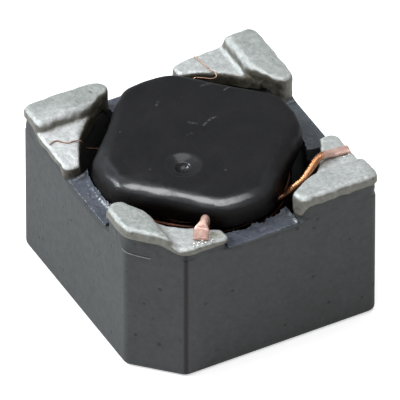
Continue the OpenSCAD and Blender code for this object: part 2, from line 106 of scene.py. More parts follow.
def make_camera():
    back = back_vector(AZIMUTH, ELEVATION)
    right = Vector((0, 0, 1)).cross(back).normalized()
    up = back.cross(right)
    target = Vector((0, 0, AIM_HEIGHT)) + AIM_UP * up + AIM_RIGHT * right
    data = bpy.data.cameras.new("camera")
    data.lens = LENS
    data.sensor_width = 36
    data.clip_start = 0.01
    data.clip_end = 10
    camera = bpy.data.objects.new("camera", data)
    bpy.context.scene.collection.objects.link(camera)
    aim(camera, target + DISTANCE * back, target)
    bpy.context.scene.camera = camera


def area_light(name, place, size, level, colour=(1, 1, 1)):
    """Soft light at place in millimetres. Level 1 lights a white sheet that faces it to plain white."""
    place = Vector(place) * MM
    data = bpy.data.lights.new(name, "AREA")
    data.shape = "RECTANGLE"
    data.size, data.size_y = size[0] * MM, size[1] * MM
    data.energy = level * 10 * place.length_squared
    data.color = colour
    light = bpy.data.objects.new(name, data)
    bpy.context.scene.collection.objects.link(light)
    aim(light, place, (0, 0, 2 * MM))


def make_lights():
    area_light("back_left_softbox", (-150, 110, 170), (90, 90), 0.79, (0.94, 1.0, 1.05))
    area_light("top_softbox", (0, -10, 220), (190, 150), 0.5)
    area_light("front_fill", (90, -190, 90), (90, 60), 0.03)


def make_world():
    world = bpy.data.worlds.new("studio")
    world.use_nodes = True
    bpy.context.scene.world = world
    nodes, links = world.node_tree.nodes, world.node_tree.links
    background = nodes["Background"]
    path = nodes.new("ShaderNodeLightPath")
    strength = nodes.new("ShaderNodeMapRange")
    strength.inputs["To Min"].default_value = 0.3
    strength.inputs["To Max"].default_value = 1.0
    background.inputs["Color"].default_value = (1, 1, 1, 1)
    links.new(path.outputs["Is Camera Ray"], strength.inputs["Value"])
    links.new(strength.outputs["Result"], background.inputs["Strength"])


def make_floor():
    size = 900 * MM
    mesh = bpy.data.meshes.new("floor")
    corners = [(-size, -size, 0), (size, -size, 0), (size, size, 0), (-size, size, 0)]
    mesh.from_pydata(corners, [], [(0, 1, 2, 3)])
    floor = bpy.data.objects.new("floor", mesh)
    bpy.context.scene.collection.objects.link(floor)
    material, web, body = new_material("floor_white")
    body.inputs["Base Color"].default_value = (0.9, 0.9, 0.9, 1)
    body.inputs["Roughness"].default_value = 0.9
    body.inputs["Specular IOR Level"].default_value = 0.1
    body.inputs["Emission Color"].default_value = (1, 1, 1, 1)
    seen = web.add("LightPath").outputs["Is Camera Ray"]
    web.put(web.math("MULTIPLY", seen, 0.55), body.inputs["Emission Strength"])
    mesh.materials.append(material)


# ---------------------------------------------------------------- shared effects for the materials

class Web:
    """Short ways to add nodes to one node tree."""

    def __init__(self, tree):
        self.tree = tree

    def add(self, kind, **settings):
        node = self.tree.nodes.new("ShaderNode" + kind)
        for key, value in settings.items():
            setattr(node, key, value)
        return node

    def put(self, value, socket):
        if isinstance(value, bpy.types.NodeSocket):
            self.tree.links.new(value, socket)
        else:
            socket.default_value = value

    def math(self, operation, a, b=0.0, clamp=False):
        node = self.add("Math", operation=operation, use_clamp=clamp)
        self.put(a, node.inputs[0])
        self.put(b, node.inputs[1])
        return node.outputs[0]

    def vector_math(self, operation, a, b=(0, 0, 0), scale=1.0):
        node = self.add("VectorMath", operation=operation)
        self.put(a, node.inputs[0])
        if operation == "SCALE":
            self.put(scale, node.inputs["Scale"])
        else:
            self.put(b, node.inputs[1])
        return node.outputs["Value" if operation in ("DOT_PRODUCT", "LENGTH") else "Vector"]

    def ramp(self, value, low, high, to_low=0.0, to_high=1.0):
        """Smooth step of value from low to high."""
        node = self.add("MapRange", interpolation_type="SMOOTHSTEP")
        self.put(value, node.inputs["Value"])
        for name, end in (("From Min", low), ("From Max", high), ("To Min", to_low), ("To Max", to_high)):
            self.put(end, node.inputs[name])
        return node.outputs["Result"]

    def mix(self, factor, a, b):
        node = self.add("Mix", data_type="RGBA")
        self.put(factor, node.inputs["Factor"])
        self.put(rgba(a), node.inputs["A"])
        self.put(rgba(b), node.inputs["B"])
        return node.outputs["Result"]

    def use(self, group, **values):
        node = self.add("Group")
        node.node_tree = group
        for name, value in values.items():
            self.put(value, node.inputs[name.replace("_", " ").capitalize()])
        return node.outputs[0]


def rgba(colour):
    return (*colour, 1) if isinstance(colour, tuple) and len(colour) == 3 else colour


def new_material(name):
    material = bpy.data.materials.new(name)
    material.use_nodes = True
    return material, Web(material.node_tree), material.node_tree.nodes["Principled BSDF"]


def new_group(name, inputs, output):
    """Node group with float or vector inputs and one float output."""
    tree = bpy.data.node_groups.new(name, "ShaderNodeTree")
    for label, kind, value in inputs:
        socket = tree.interface.new_socket(label, in_out="INPUT", socket_type="NodeSocket" + kind)
        socket.default_value = value
    tree.interface.new_socket(output, in_out="OUTPUT", socket_type="NodeSocketFloat")
    start = tree.nodes.new("NodeGroupInput")
    end = tree.nodes.new("NodeGroupOutput")
    return tree, Web(tree), start.outputs, end.inputs[0]


def make_cloud_group():
    """Soft cloudy value from 0 to 1, with a given patch size in millimetres."""
    tree, web, given, out = new_group(
        "cloud",
        (
            ("Place", "Vector", (0, 0, 0)), ("Patch", "Float", 1.0),
            ("Rough", "Float", 0.5), ("Contrast", "Float", 1.0),
        ),
        "Value",
    )
    noise = web.add("TexNoise")
    web.put(given["Place"], noise.inputs["Vector"])
    web.put(web.math("DIVIDE", 1.0, given["Patch"]), noise.inputs["Scale"])
    noise.inputs["Detail"].default_value = 4
    web.put(given["Rough"], noise.inputs["Roughness"])
    spread = web.math("MULTIPLY", web.math("SUBTRACT", noise.outputs[0], 0.5), given["Contrast"])
    web.put(web.math("ADD", spread, 0.5, clamp=True), out)
    return tree


def make_pit_group():
    """Mask of small scattered spots, from their spacing and radius in millimetres and the share of cells that
    hold one."""
    tree, web, given, out = new_group(
        "spots",
        (
            ("Place", "Vector", (0, 0, 0)), ("Spacing", "Float", 0.5),
            ("Radius", "Float", 0.05), ("Share", "Float", 0.5),
        ),
        "Mask",
    )
    cells = web.add("TexVoronoi")
    web.put(given["Place"], cells.inputs["Vector"])
    web.put(web.math("DIVIDE", 1.0, given["Spacing"]), cells.inputs["Scale"])
    pick = web.add("SeparateColor")
    web.put(cells.outputs["Color"], pick.inputs[0])
    radius = web.math("MULTIPLY", given["Radius"], web.math("ADD", pick.outputs[1], 0.5))
    size = web.math("DIVIDE", radius, given["Spacing"])
    inside = web.ramp(web.math("DIVIDE", cells.outputs["Distance"], size), 0.6, 1.1, 1.0, 0.0)
    web.put(web.math("MULTIPLY", inside, web.math("LESS_THAN", pick.outputs[0], given["Share"])), out)
    return tree


def make_stroke_group():
    """Mask of one straight thin stroke between two places in millimetres."""
    tree, web, given, out = new_group(
        "stroke",
        (
            ("Place", "Vector", (0, 0, 0)), ("Start", "Vector", (0, 0, 0)),
            ("End", "Vector", (1, 0, 0)), ("Width", "Float", 0.03),
        ),
        "Mask",
    )
    along = web.vector_math("SUBTRACT", given["End"], given["Start"])
    reach = web.vector_math("SUBTRACT", given["Place"], given["Start"])
    reach_along = web.vector_math("DOT_PRODUCT", reach, along)
    share = web.math("DIVIDE", reach_along, web.vector_math("DOT_PRODUCT", along, along), clamp=True)
    nearest = web.vector_math("SCALE", along, scale=share)
    gap = web.vector_math("LENGTH", web.vector_math("SUBTRACT", reach, nearest))
    web.put(web.ramp(web.math("DIVIDE", gap, given["Width"]), 0.3, 1.0, 1.0, 0.0), out)
    return tree


CLOUD = make_cloud_group()
SPOTS = make_pit_group()
STROKE = make_stroke_group()


def surface_place(web):
    """Place on the object in millimetres."""
    return web.vector_math("SCALE", web.add("TexCoord").outputs["Object"], scale=1 / MM)


def parts_of(web, vector):
    """The three parts of a vector."""
    split = web.add("SeparateXYZ")
    web.put(vector, split.inputs[0])
    return split.outputs


def bumps(web, body, height, depth):
    """Bump of the given depth in millimetres."""
    node = web.add("Bump")
    node.inputs["Distance"].default_value = depth * MM
    node.inputs["Strength"].default_value = 1.0
    web.put(height, node.inputs["Height"])
    web.put(node.outputs[0], body.inputs["Normal"])


# ---------------------------------------------------------------- materials

def shield_ferrite():
    material, web, body = new_material("shield_ferrite")
    place = surface_place(web)
    cloud = web.use(CLOUD, place=place, patch=0.9, contrast=1.6)
    blotch = web.use(CLOUD, place=place, patch=0.2, rough=0.65, contrast=3.0)
    grain = web.use(CLOUD, place=place, patch=0.075, rough=0.75, contrast=3.2)
    pits = web.use(SPOTS, place=place, spacing=0.4, radius=0.05, share=0.6)
    dots = web.use(SPOTS, place=place, spacing=0.15, radius=0.03, share=0.55)
    colour = web.mix(cloud, (0.050, 0.054, 0.055), (0.070, 0.074, 0.0755))
    colour = web.mix(web.math("MULTIPLY", blotch, 0.6), colour, (0.096, 0.100, 0.100))
    colour = web.mix(web.math("MULTIPLY", grain, 0.4), colour, (0.043, 0.044, 0.043))
    marks = web.math("MAXIMUM", pits, web.math("MULTIPLY", dots, 0.5))
    colour = web.mix(web.math("MULTIPLY", marks, 0.6), colour, (0.016, 0.016, 0.017))
    edge_x, edge_y = -HALF + BEVEL, -HALF
    seam = web.use(
        STROKE, place=place, start=(edge_x, edge_y, -0.5), end=(edge_x, edge_y, RIM + 0.1), width=0.085
    )
    colour = web.mix(web.math("MULTIPLY", seam, 0.8), colour, (0.020, 0.010, 0.012))
    web.put(colour, body.inputs["Base Color"])
    web.put(web.ramp(blotch, 0.2, 0.8, 0.42, 0.54), body.inputs["Roughness"])
    body.inputs["Specular IOR Level"].default_value = 0.22
    height = web.math("SUBTRACT", web.math("MULTIPLY", grain, 0.25), marks)
    bumps(web, body, height, 0.005)
    return material


# Fine scratches on the drum's top: start and end in shares of its radius, width and strength.
SCRATCHES = (
    ((0.15, 0.15), (0.25, 0.20), 0.04, 0.4),
    ((0.25, 0.20), (0.30, 0.20), 0.04, 0.4),
    ((0.05, 0.25), (0.10, 0.20), 0.05, 0.25),
    ((-0.05, 0.10), (0.0, 0.10), 0.04, 0.2),
    ((0.55, 0.50), (0.70, 0.55), 0.03, 0.35),
    ((-0.10, 0.60), (-0.05, 0.65), 0.04, 0.3),
    ((0.40, 0.65), (0.50, 0.65), 0.05, 0.25),
)


def drum_ferrite():
    material, web, body = new_material("drum_ferrite")
    place = surface_place(web)
    x, y, z = parts_of(web, place)
    cloud = web.use(CLOUD, place=place, patch=0.8, contrast=1.8)
    grain = web.use(CLOUD, place=place, patch=0.05, rough=0.7, contrast=2.0)
    wave = web.use(CLOUD, place=place, patch=0.35, contrast=1.0)
    specks = web.use(SPOTS, place=place, spacing=0.3, radius=0.022, share=0.14)
    colour = web.mix(cloud, (0.012, 0.012, 0.0135), (0.0185, 0.018, 0.0195))
    colour = web.mix(web.ramp(z, DRUM_TOP - 0.35, DRUM_TOP - 0.15, 1.0, 0.0), colour, (0.004, 0.0025, 0.002))
    colour = web.mix(web.math("MULTIPLY", specks, 0.5), colour, (0.11, 0.11, 0.12))
    scratches = None
    for start, end, width, strength in SCRATCHES:
        stroke = web.use(
            STROKE, place=place, start=(DRUM_X + DRUM_R * start[0], DRUM_Y + DRUM_R * start[1], DRUM_TOP),
            end=(DRUM_X + DRUM_R * end[0], DRUM_Y + DRUM_R * end[1], DRUM_TOP), width=width,
        )
        stroke = web.math("MULTIPLY", stroke, strength)
        scratches = stroke if scratches is None else web.math("MAXIMUM", scratches, stroke)
    colour = web.mix(web.math("MULTIPLY", scratches, web.ramp(grain, 0.3, 0.7)), colour, (0.2, 0.2, 0.22))
    swell = web.math("MULTIPLY", web.math("SUBTRACT", wave, 0.5), 0.06)
    level = web.math("ADD", z, web.math("MULTIPLY", swell, 0.6))
    wet = web.math("MULTIPLY", web.ramp(level, DRUM_TOP - 0.02, DRUM_TOP, 1.0, 0.0),
                   web.ramp(level, DRUM_TOP - 0.18, DRUM_TOP - 0.11))
    from_middle = web.vector_math("LENGTH", web.vector_math("MULTIPLY", place, (1, 1, 0)))
    wet = web.math("MULTIPLY", wet, web.ramp(from_middle, 1.5, 1.75))
    front = web.ramp(web.math("ADD", x, web.math("MULTIPLY", y, 1.3)), -1.9, -0.6, 1.0, 0.12)
    wet = web.math("MULTIPLY", web.math("MULTIPLY", wet, front), web.ramp(x, -2.38, -2.15, 0.12, 1.0))
    wet = web.math("MULTIPLY", wet, web.ramp(x, -0.8, 0.4, 0.85, 0.2))
    wet = web.math("MULTIPLY", wet, web.ramp(wave, 0.3, 0.55, 0.55, 1.0))
    level_place = web.vector_math("MULTIPLY", place, (1, 1, 0))
    from_dimple = web.vector_math("SUBTRACT", level_place, (DIMPLE_X, DIMPLE_Y, 0))
    in_dimple = web.ramp(web.vector_math("LENGTH", from_dimple), DIMPLE_R, DIMPLE_R + 0.05, 0.16, 0.0)
    web.put(web.math("MAXIMUM", wet, in_dimple), body.inputs["Coat Weight"])
    web.put(colour, body.inputs["Base Color"])
    body.inputs["Roughness"].default_value = 0.5
    body.inputs["Coat Roughness"].default_value = 0.2
    body.inputs["Coat IOR"].default_value = 2.4
    body.inputs["Coat Tint"].default_value = (0.74, 0.86, 1.0, 1)
    body.inputs["Specular IOR Level"].default_value = 0.14
    bumps(web, body, web.math("ADD", web.math("MULTIPLY", grain, 0.15), wave), 0.035)
    return material


FRONT = -COAT_HALF

# Marks on the coats, stains and painted shade: start, end, width, strength and colour.
STAINS_AND_SHADE = (
    ((-1.1, FRONT + 0.25, LEDGE_TOP), (-1.1, FRONT + 0.3, LEDGE_TOP), 0.1, 0.9, (0.10, 0.11, 0.04)),
    ((-1.2, FRONT + 0.25, LEDGE_TOP), (-1.0, FRONT + 0.2, LEDGE_TOP), 0.15, 0.5, (0.34, 0.32, 0.2)),
    # painted shade down the end wall of ledge 4, darkest at its bottom (this row and the next)
    ((-2.9, 0.8, LEDGE_TOP - 0.05), (-2.7, 0.8, LEDGE_TOP - 0.05), 0.1, 0.85, (0.10, 0.085, 0.06)),
    ((-2.9, 0.8, LEDGE_TOP - 0.3), (-2.5, 0.8, LEDGE_TOP - 0.3), 0.3, 0.95, (0.045, 0.035, 0.025)),
    # painted shade on the bore-facing side of post 4
    ((-2.1, 1.75, LEDGE_TOP - 0.1), (-1.2, 2.45, LEDGE_TOP - 0.05), 0.2, 0.9, (0.06, 0.06, 0.03)),
    ((-0.95, 2.6, TOP - 0.3), (-0.95, 2.9, TOP - 0.3), 0.25, 0.6, (0.14, 0.13, 0.1)),
    ((-1.4, 2.6, TOP), (-1.4, 2.65, TOP), 0.05, 0.8, (0.16, 0.17, 0.16)),
    ((1.6, 2.2, LEDGE_TOP), (2.2, 1.7, LEDGE_TOP), 0.1, 0.5, (0.15, 0.13, 0.1)),
    (
        (COAT_HALF - 0.5, FRONT + 0.1, TOP - 0.05), (COAT_HALF - 0.2, FRONT + 0.1, TOP - 0.05),
        0.05, 0.75, (0.11, 0.10, 0.09),
    ),
)


def silver_coat():
    material, web, body = new_material("silver_coat")
    place = surface_place(web)
    z = parts_of(web, place)[2]
    facing = web.add("NewGeometry").outputs["Normal"]
    nz = parts_of(web, facing)[2]
    patch = web.use(CLOUD, place=place, patch=0.35, contrast=2.2)
    mottle = web.use(CLOUD, place=place, patch=0.12, rough=0.65, contrast=3.0)
    grain = web.use(CLOUD, place=place, patch=0.03, rough=0.8, contrast=2.0)
    ragged = web.math("MULTIPLY", web.math("SUBTRACT", mottle, 0.5), 0.15)
    upward = web.ramp(web.math("ADD", nz, ragged), 0.35, 0.75)
    worn = web.mix(patch, (0.33, 0.365, 0.345), (0.49, 0.51, 0.485))
    worn = web.mix(web.math("MULTIPLY", mottle, 0.55), worn, (0.29, 0.33, 0.31))
    clean = web.mix(patch, (0.48, 0.51, 0.49), (0.68, 0.70, 0.70))
    clean = web.mix(web.math("MULTIPLY", mottle, 0.5), clean, (0.42, 0.45, 0.43))
    top = web.mix(web.ramp(z, LEDGE_TOP + 0.04, LEDGE_TOP + 0.14), clean, worn)
    # Painted highlight: the top of ledge 4 and the top of ridge 2 made lighter.
    ledge_4_highlight = web.use(STROKE, place=place, start=(-2.7, 0.9, LEDGE_TOP), end=(-2.5, 2.1, LEDGE_TOP), width=0.8)
    ridge_2_highlight = web.use(STROKE, place=place, start=(1.1, -2.7, TOP), end=(2.5, -2.7, TOP), width=0.65)
    painted_highlight = web.math("MAXIMUM", ledge_4_highlight, web.math("MULTIPLY", ridge_2_highlight, 0.35))
    top = web.mix(web.math("MULTIPLY", painted_highlight, web.ramp(mottle, 0.2, 0.7, 1.0, 0.6)), top, (0.80, 0.81, 0.82))
    # Painted highlight on faces that tilt between level and steep.
    slope_highlight = web.math("MULTIPLY", web.ramp(nz, 0.985, 0.93), web.ramp(nz, 0.45, 0.65))
    top = web.mix(web.math("MULTIPLY", slope_highlight, 0.3), top, (0.84, 0.85, 0.84))
    side = web.mix(mottle, (0.13, 0.12, 0.095), (0.27, 0.255, 0.22))
    colour = web.mix(upward, side, top)
    low = web.ramp(z, LEDGE_TOP - 0.2, LEDGE_TOP - 0.06, 1.0, 0.0)
    colour = web.mix(web.math("MULTIPLY", low, web.ramp(patch, 0.35, 0.75)), colour, (0.14, 0.105, 0.07))
    fleck = web.use(CLOUD, place=place, patch=0.07, rough=0.75, contrast=4.0)
    aside = web.vector_math("ADD", place, (7.0, 3.0, 5.0))
    shine = web.use(CLOUD, place=aside, patch=0.1, rough=0.75, contrast=4.0)
    colour = web.mix(web.math("MULTIPLY", fleck, 0.42), colour, (0.24, 0.26, 0.245))
    shiny_top = web.math("MULTIPLY", web.math("MULTIPLY", shine, 0.25), upward)
    colour = web.mix(shiny_top, colour, (0.86, 0.87, 0.86))
    # Painted shade on faces that look in towards the drum.
    way_in = web.vector_math("NORMALIZE", web.vector_math("MULTIPLY", place, (-1, -1, 0)))
    inward_shade = web.ramp(web.vector_math("DOT_PRODUCT", facing, way_in), 0.55, 0.85)
    inward_shade = web.math("MULTIPLY", inward_shade, web.ramp(patch, 0.2, 0.6, 0.6, 1.0))
    colour = web.mix(web.math("MULTIPLY", inward_shade, 0.85), colour, (0.075, 0.068, 0.045))
    # Stains, and the rows of painted shade, mixed into the coat's colour.
    for start, end, width, share, stain_and_shade_colour in STAINS_AND_SHADE:
        mask = web.use(STROKE, place=place, start=start, end=end, width=width)
        mask = web.math("MULTIPLY", mask, web.ramp(mottle, 0.2, 0.7, share, 0.5 * share))
        colour = web.mix(mask, colour, stain_and_shade_colour)
    pores = web.use(SPOTS, place=place, spacing=0.25, radius=0.03, share=0.25)
    colour = web.mix(web.math("MULTIPLY", pores, 0.5), colour, (0.2, 0.21, 0.2))
    web.put(colour, body.inputs["Base Color"])
    body.inputs["Metallic"].default_value = 0.35
    web.put(web.ramp(mottle, 0.2, 0.8, 0.38, 0.58), body.inputs["Roughness"])
    height = web.math("ADD", web.math("MULTIPLY", mottle, 0.7), web.math("MULTIPLY", grain, 0.3))
    bumps(web, body, web.math("SUBTRACT", height, pores), 0.012)
    return material


def copper_wire(name, ledge_4_highlight, dark):
    material, web, body = new_material(name)
    place = surface_place(web)
    streak = web.use(CLOUD, place=place, patch=0.15, contrast=2.5)
    grain = web.use(CLOUD, place=place, patch=0.02, contrast=2.0)
    web.put(web.mix(streak, dark, ledge_4_highlight), body.inputs["Base Color"])
    body.inputs["Metallic"].default_value = 0.9
    web.put(web.ramp(streak, 0.2, 0.8, 0.22, 0.36), body.inputs["Roughness"])
    body.inputs["Coat Weight"].default_value = 0.6
    body.inputs["Coat Roughness"].default_value = 0.1
    bumps(web, body, grain, 0.003)
    return material


def thick_copper():
    """Bare pinkish copper where the wire is pressed flat, and redder enamel over the rest, darkened below the
    rim by painted shade.
    """
    material, web, body = new_material("thick_wire")
    place = surface_place(web)
    x, _, z = parts_of(web, place)
    streak = web.use(CLOUD, place=place, patch=0.15, contrast=2.5)
    grain = web.use(CLOUD, place=place, patch=0.03, contrast=2.0)
    enamel = web.mix(streak, (0.42, 0.15, 0.05), (0.64, 0.31, 0.15))
    # Painted shade: the enamel darkens below the rim, down in the gap round the drum.
    enamel = web.mix(web.ramp(z, RIM - 0.1, RIM + 0.2, 1.0, 0.0), enamel, (0.07, 0.02, 0.008))
    bare = web.mix(streak, (0.66, 0.40, 0.33), (0.86, 0.60, 0.52))
    radius = web.vector_math("LENGTH", web.vector_math("MULTIPLY", place, (1, 1, 0)))
    start = web.ramp(x, -0.5, 0.5, BORE_R - 0.3, BORE_R + 0.02)
    outside = web.ramp(web.math("SUBTRACT", radius, start), 0.0, 0.12)
    share = web.math("MULTIPLY", outside, web.ramp(z, LEDGE_TOP - 0.14, LEDGE_TOP - 0.04))
    web.put(web.mix(share, enamel, bare), body.inputs["Base Color"])
    web.put(web.ramp(share, 0, 1, 0.95, 0.6), body.inputs["Metallic"])
    roughness = web.math("ADD", web.ramp(share, 0, 1, 0.2, 0.34), web.math("MULTIPLY", streak, 0.08))
    web.put(roughness, body.inputs["Roughness"])
    web.put(web.ramp(share, 0, 1, 0.6, 0.0), body.inputs["Coat Weight"])
    body.inputs["Coat Roughness"].default_value = 0.08
    bumps(web, body, web.math("ADD", grain, web.math("MULTIPLY", streak, 0.5)), 0.006)
    return material


def solder_tin():
    material, web, body = new_material("solder")
    place = surface_place(web)
    patch = web.use(CLOUD, place=place, patch=0.08, contrast=2.0)
    web.put(web.mix(patch, (0.62, 0.62, 0.6), (0.86, 0.86, 0.85)), body.inputs["Base Color"])
    body.inputs["Metallic"].default_value = 0.9
    web.put(web.ramp(patch, 0.2, 0.8, 0.18, 0.38), body.inputs["Roughness"])
    bumps(web, body, patch, 0.01)
    return material


def adhesive():
    material, web, body = new_material("adhesive")
    place = surface_place(web)
    x = parts_of(web, place)[0]
    cloud = web.use(CLOUD, place=place, patch=0.3, contrast=2.0)
    rough = web.use(CLOUD, place=place, patch=0.13, rough=0.6, contrast=2.2)
    wave = web.add("TexWave", bands_direction="DIAGONAL")
    web.put(place, wave.inputs["Vector"])
    for socket, value in (("Scale", 1.6), ("Distortion", 7.0), ("Detail", 2.0), ("Detail Scale", 1.5)):
        wave.inputs[socket].default_value = value
    colour = web.mix(cloud, (0.06, 0.07, 0.092), (0.11, 0.12, 0.147))
    lines = web.ramp(wave.outputs["Fac"], 0.0, 0.12, 1.0, 0.0)
    colour = web.mix(web.math("MULTIPLY", lines, 0.4), colour, (0.03, 0.033, 0.05))
    teal = web.math("MULTIPLY", web.ramp(x, 0.2, 1.2), 0.6)
    colour = web.mix(teal, colour, (0.07, 0.085, 0.09))
    web.put(colour, body.inputs["Base Color"])
    web.put(web.ramp(rough, 0.2, 0.8, 0.16, 0.4), body.inputs["Roughness"])
    body.inputs["Coat Weight"].default_value = 0.3
    height = web.math("ADD", web.math("MULTIPLY", rough, 0.5), web.math("MULTIPLY", lines, -0.4))
    bumps(web, body, height, 0.012)
    return material


def thread():
    material, web, body = new_material("thread")
    place = surface_place(web)
    patch = web.use(CLOUD, place=place, patch=0.1, contrast=2.0)
    web.put(web.mix(patch, (0.16, 0.16, 0.15), (0.3, 0.3, 0.29)), body.inputs["Base Color"])
    body.inputs["Roughness"].default_value = 0.7
    return material


# ---------------------------------------------------------------- soft solid pieces from distance fields

def smooth_max(a, b, k):
    """The larger of two distances, with the edge between them rounded over about k."""
    share = np.clip(0.5 + 0.5 * (a - b) / k, 0, 1)
    return b * (1 - share) + a * share + k * share * (1 - share)


def smooth_min(a, b, k):
    return -smooth_max(-a, -b, k)


def smooth_step(value, low, high):
    t = np.clip((value - low) / (high - low), 0, 1)
    return t * t * (3 - 2 * t)


def lumps(x, y, z, patch, seed):
    """Gentle uneven swell from about -1 to 1, with patches of the given size."""
    rng = np.random.default_rng(seed)
    total = np.zeros(np.broadcast(x, y, z).shape, np.float32)
    for _ in range(9):
        direction = rng.normal(size=3)
        direction *= (2 * math.pi / patch) * rng.uniform(0.5, 1.3) / np.linalg.norm(direction)
        total += np.sin(direction[0] * x + direction[1] * y + direction[2] * z + rng.uniform(0, 6.28))
    return total / 4


def turned(points, degrees):
    a = math.radians(degrees)
    c, s = math.cos(a), math.sin(a)
    out = points.copy()
    out[:, 0] = points[:, 0] * c - points[:, 1] * s
    out[:, 1] = points[:, 0] * s + points[:, 1] * c
    return out


def field_normals(field, points, step):
    """Outward directions of a field's surface at the given points."""
    slopes = []
    for axis in range(3):
        ahead, behind = points.copy(), points.copy()
        ahead[:, axis] += step
        behind[:, axis] -= step
        slopes.append(field(*ahead.T) - field(*behind.T))
    slopes = np.stack(slopes, axis=1)
    return slopes / np.maximum(np.linalg.norm(slopes, axis=1, keepdims=True), 1e-9)


def solid_from_field(name, field, low, high, step, turn=0.0, merge=0.0):
    """Mesh of the surface where field(x, y, z) is zero, in millimetres, turned about the body's axis.
    Flat stretches are merged into larger faces by merge, and the shading follows the field itself."""
    axes = [np.arange(low[i], high[i] + step, step, dtype=np.float32) for i in range(3)]
    x, y, z = np.meshgrid(*axes, indexing="ij")
    values = field(x, y, z).astype(np.float32)
    for axis in range(3):
        for end in (0, -1):
            cut = [slice(None)] * 3
            cut[axis] = end
            values[tuple(cut)] = np.maximum(values[tuple(cut)], step)
    grid = openvdb.FloatGrid(1.0)
    grid.copyFromArray(values)
    points, triangles, quads = grid.convertToPolygons(isovalue=0.0, adaptivity=merge)
    points = np.array(low) + points.astype(float) * step
    normals = turned(field_normals(field, points, 0.4 * step), turn)
    faces = [tuple(int(i) for i in q) for q in quads] + [tuple(int(i) for i in t) for t in triangles]
    mesh = bpy.data.meshes.new(name)
    mesh.from_pydata((turned(points, turn) * MM).tolist(), [], faces)
    mesh.shade_smooth()
    mesh.normals_split_custom_set_from_vertices(normals.tolist())
    return mesh


def show(name, mesh, material, node=None):
    """Adds a piece that rides on the body, and stands for a CAD node where one is named."""
    piece = bpy.data.objects.new(name, mesh)
    bpy.context.scene.collection.objects.link(piece)
    mesh.materials.append(material)
    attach(piece, "root")
    if node:
        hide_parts(node)
    return piece


def corner_turn(n):
    return 90 * n - 270


def post_field(n, x, y, z):
    """Distance to the coated post at the (+x, +y) corner: a tall ridge along +x and a low ledge along +y."""
    outer = smooth_max(x - COAT_HALF, y - COAT_HALF, 0.26)
    if n == 1:
        outer = smooth_max(outer, (x + y) / math.sqrt(2) - BEVEL_REACH, 0.16)
    bore = BORE_R - COAT - np.hypot(x, y)
    lean = (RIDGE_FOOT_X + 0.4 * (z - LEDGE_TOP) - x) / math.sqrt(1.16)
    ridge = smooth_max(outer, RIDGE_END - y, 0.34)
    ridge = smooth_max(ridge, bore, 0.18)
    ridge = smooth_max(ridge, lean, 0.15)
    ridge = smooth_max(ridge, z - TOP, 0.17)
    fall = 0.06 * smooth_step(x, 1.4, LEDGE_END)
    ledge = smooth_max(outer, LEDGE_END - x, 0.22)
    ledge = smooth_max(ledge, bore, 0.07)
    ledge = smooth_max(ledge, z - LEDGE_TOP + fall, 0.12)
    ledge = np.maximum(ledge, x - RIDGE_TOP_X - 0.05)
    bumpy = 0.008 * lumps(x, y, z, 0.55, 10 + n) + 0.005 * lumps(x, y, z, 0.2, 30 + n)
    return smooth_min(ridge, ledge, 0.1) + bumpy


def rotated(x, y, degrees):
    """Places turned about the body's axis."""
    a = math.radians(degrees)
    return x * math.cos(a) - y * math.sin(a), x * math.sin(a) + y * math.cos(a)


def body_field(x, y, z):
    """Distance to the ferrite cup with its four posts."""
    side = smooth_max(np.abs(x) - HALF, np.abs(y) - HALF, 0.2)
    side = smooth_max(side, -(x + y) / math.sqrt(2) - (BEVEL_REACH - COAT), 0.07)
    low = smooth_max(side, -z, 0.14)
    bore = BORE_R - np.hypot(x, y)
    hollow = smooth_max(-bore, FLOOR - z, 0.15)
    cup = np.maximum(smooth_max(low, z - RIM, 0.05), -hollow)
    posts = np.full(x.shape, 1.0, np.float32)
    near = (z > RIM - 0.3)
    if near.any():
        xs, ys, zs = x[near], y[near], z[near]
        best = np.full(xs.shape, 1.0, np.float32)
        for n in range(1, 5):
            px, py = rotated(xs, ys, -corner_turn(n))
            post = np.maximum(post_field(n, px, py, zs) + COAT + 0.01, RIM - 0.25 - zs)
            post = np.where((px > 0) & (py > 0), post, 1.0)
            best = np.minimum(best, post)
        posts[near] = best
    return np.maximum(np.maximum(smooth_min(cup, posts, 0.14), side), -hollow)


def drum_field(x, y, z):
    """Distance to the drum core: two flanges with four flats, a hub, and a dimple in the top."""
    x, y = x - DRUM_X, y - DRUM_Y
    r = np.hypot(x, y)
    u, v = (x + y) / math.sqrt(2), (x - y) / math.sqrt(2)
    flats = np.maximum(np.abs(u), np.abs(v)) - FLAT_DIST
    flats = flats + 0.02 * smooth_step(np.minimum(np.abs(u), np.abs(v)), 1.0, 0.0)
    outline = smooth_max(r - DRUM_R, flats, 0.1)
    swell = 0.008 * lumps(x, y, z, 1.1, 5) + 0.007 * lumps(x, y, z, 0.45, 6)
    soft = 0.5 - 0.28 * smooth_step(0.47 * x + 0.88 * y, -0.3, 1.4)
    upper = smooth_max(outline + swell, z - DRUM_TOP, soft)
    upper = smooth_max(upper, WINDOW_HIGH - z, 0.08)
    lower = np.maximum(smooth_max(outline, z - WINDOW_LOW, 0.08), FLOOR - z)
    hub = np.maximum(np.maximum(r - HUB_R, z - WINDOW_HIGH - 0.1), WINDOW_LOW - 0.1 - z)
    drum = np.minimum(np.minimum(upper, lower), hub)
    dx, dy = x + DRUM_X - DIMPLE_X, y + DRUM_Y - DIMPLE_Y
    for radius, depth, soft in ((DIMPLE_R, 0.11, 0.03), (PIT_R, 0.19, 0.02)):
        ball = (radius * radius + depth * depth) / (2 * depth)
        dish = np.sqrt(dx * dx + dy * dy + (z - DRUM_TOP - ball + depth) ** 2) - ball
        drum = smooth_max(drum, -dish, soft)
    return drum


def body_mesh():
    low = (-HALF - MARGIN, -HALF - MARGIN, -MARGIN)
    high = (HALF + MARGIN, HALF + MARGIN, TOP + GRID)
    return solid_from_field("body", body_field, low, high, GRID, merge=0.004)


